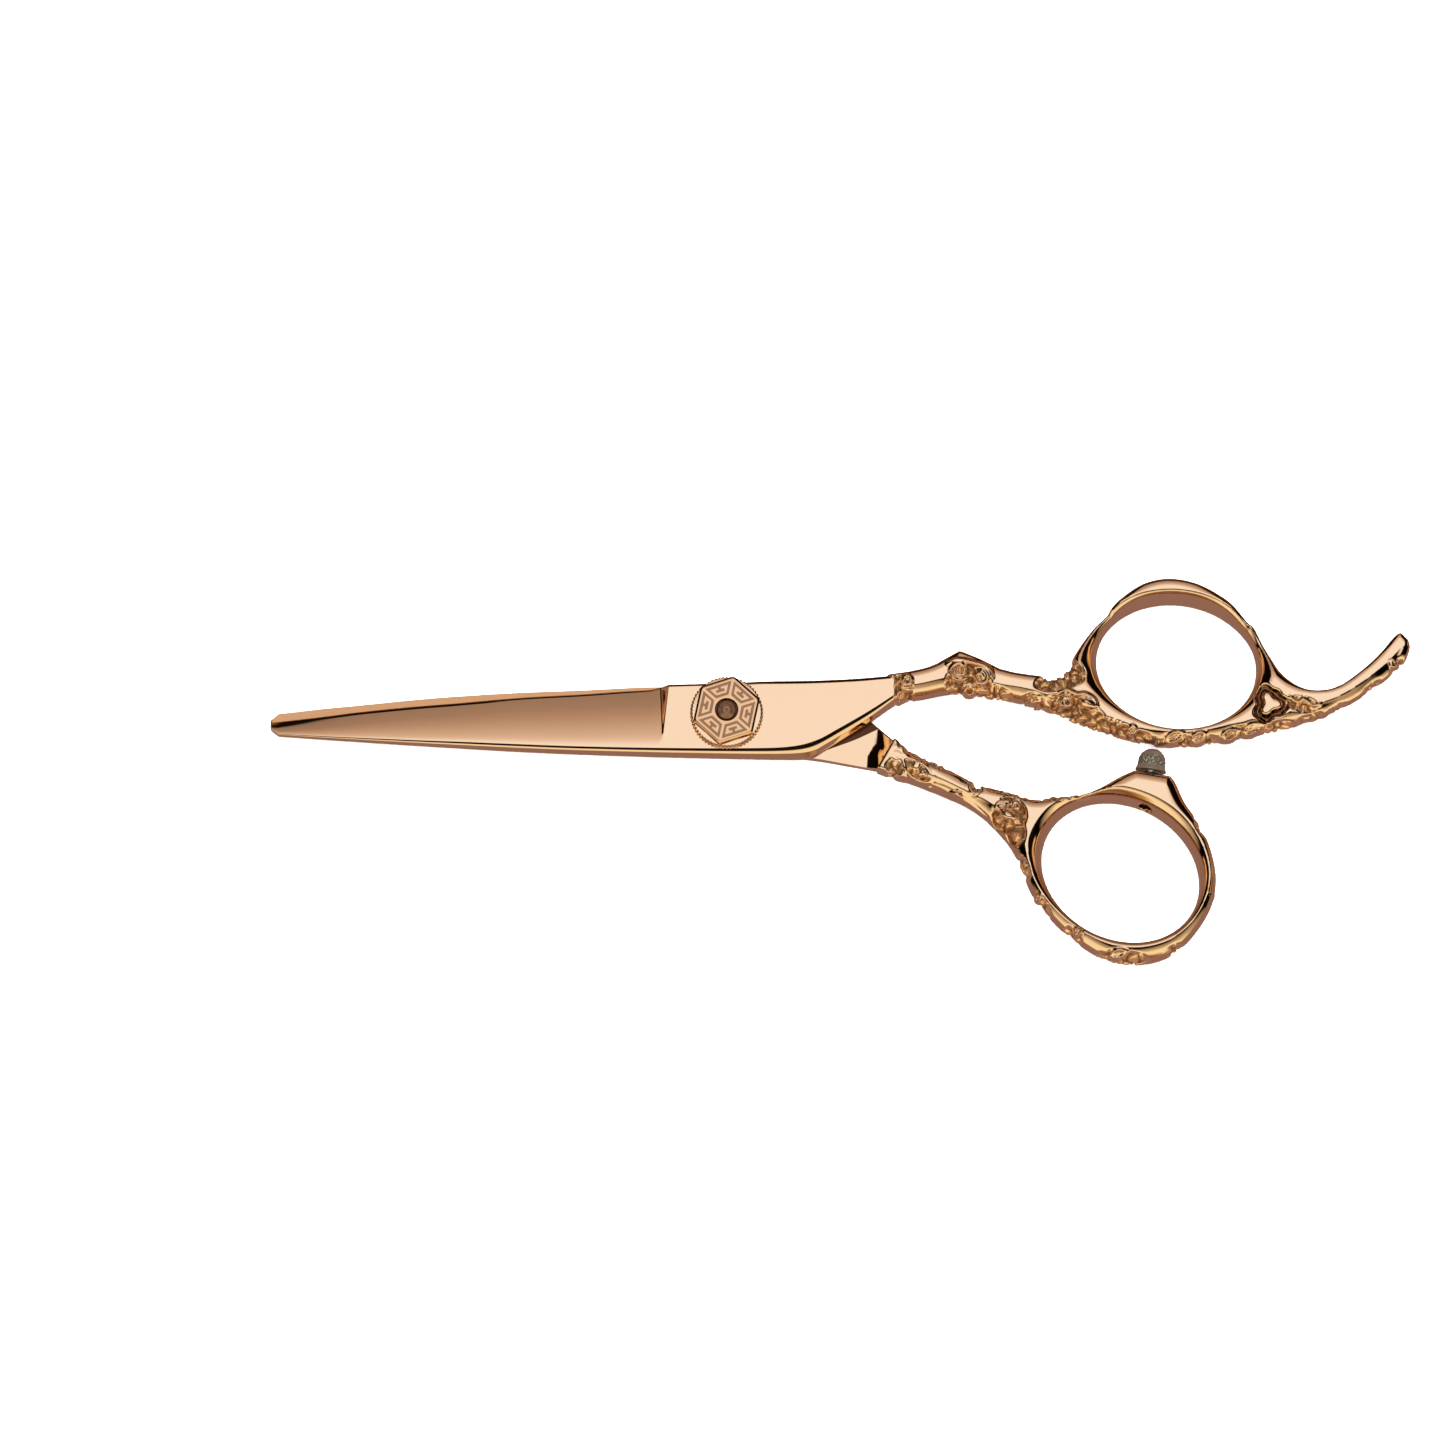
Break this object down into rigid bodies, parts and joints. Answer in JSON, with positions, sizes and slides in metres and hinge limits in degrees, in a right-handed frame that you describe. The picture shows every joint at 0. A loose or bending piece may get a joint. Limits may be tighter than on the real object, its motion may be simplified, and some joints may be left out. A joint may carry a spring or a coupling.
{
  "type": "hair cutting shears",
  "caption": "Hair cutting shears with mirror-polished blades, a click tension dial, ornate cast handles, a finger rest and a rubber bumper.",
  "frame": {"origin": "on the pivot axis, in the middle of the back face of the pivot screw's head, in the plane that the shears lie on", "axes": "+X runs from the pivot to the handles and -X to the blade tips, +Y to the finger handle's side in the shears' plane, +Z out of the dial"},
  "size_m": [0.1724, 0.0594, 0.0081],
  "materials": {
    "polished_steel": "rose-gold coated, mirror polished",
    "cast_steel": "rose-gold coated, polished, with darkened relief",
    "dial_steel": "rose-gold coated, polished, etched grey lines",
    "screw_steel": "rose-gold coated, turned",
    "spring_steel": "bare spring steel",
    "nylon": "natural white",
    "smoke_rubber": "smoke-grey, slightly translucent"
  },
  "bodies": {
    "finger_half": {"finger_blade": "polished_steel", "finger_handle": "cast_steel", "pivot_bush": "nylon"},
    "thumb_half": {"thumb_blade": "polished_steel", "thumb_handle": "cast_steel", "pivot_screw": "screw_steel", "ride_washer": "nylon", "seat_washer": "nylon", "wave_spring": "spring_steel", "click_plate": "spring_steel", "bumper": "smoke_rubber", "bumper_stud": "screw_steel"},
    "tension_dial": {"dial_nut": "dial_steel", "dial_cap": "dial_steel"}
  },
  "joints": [
    {"name": "blade_pivot", "type": "hinge", "parent": "finger_half", "child": "thumb_half", "pos_m": [0, 0, 0], "axis": [0, 0, -1], "range_deg": [0, 100]},
    {"name": "dial_turn", "type": "hinge", "parent": "thumb_half", "child": "tension_dial", "pos_m": [0, 0, 0], "axis": [0, 0, 1], "range_deg": [-90, 90]}
  ]
}
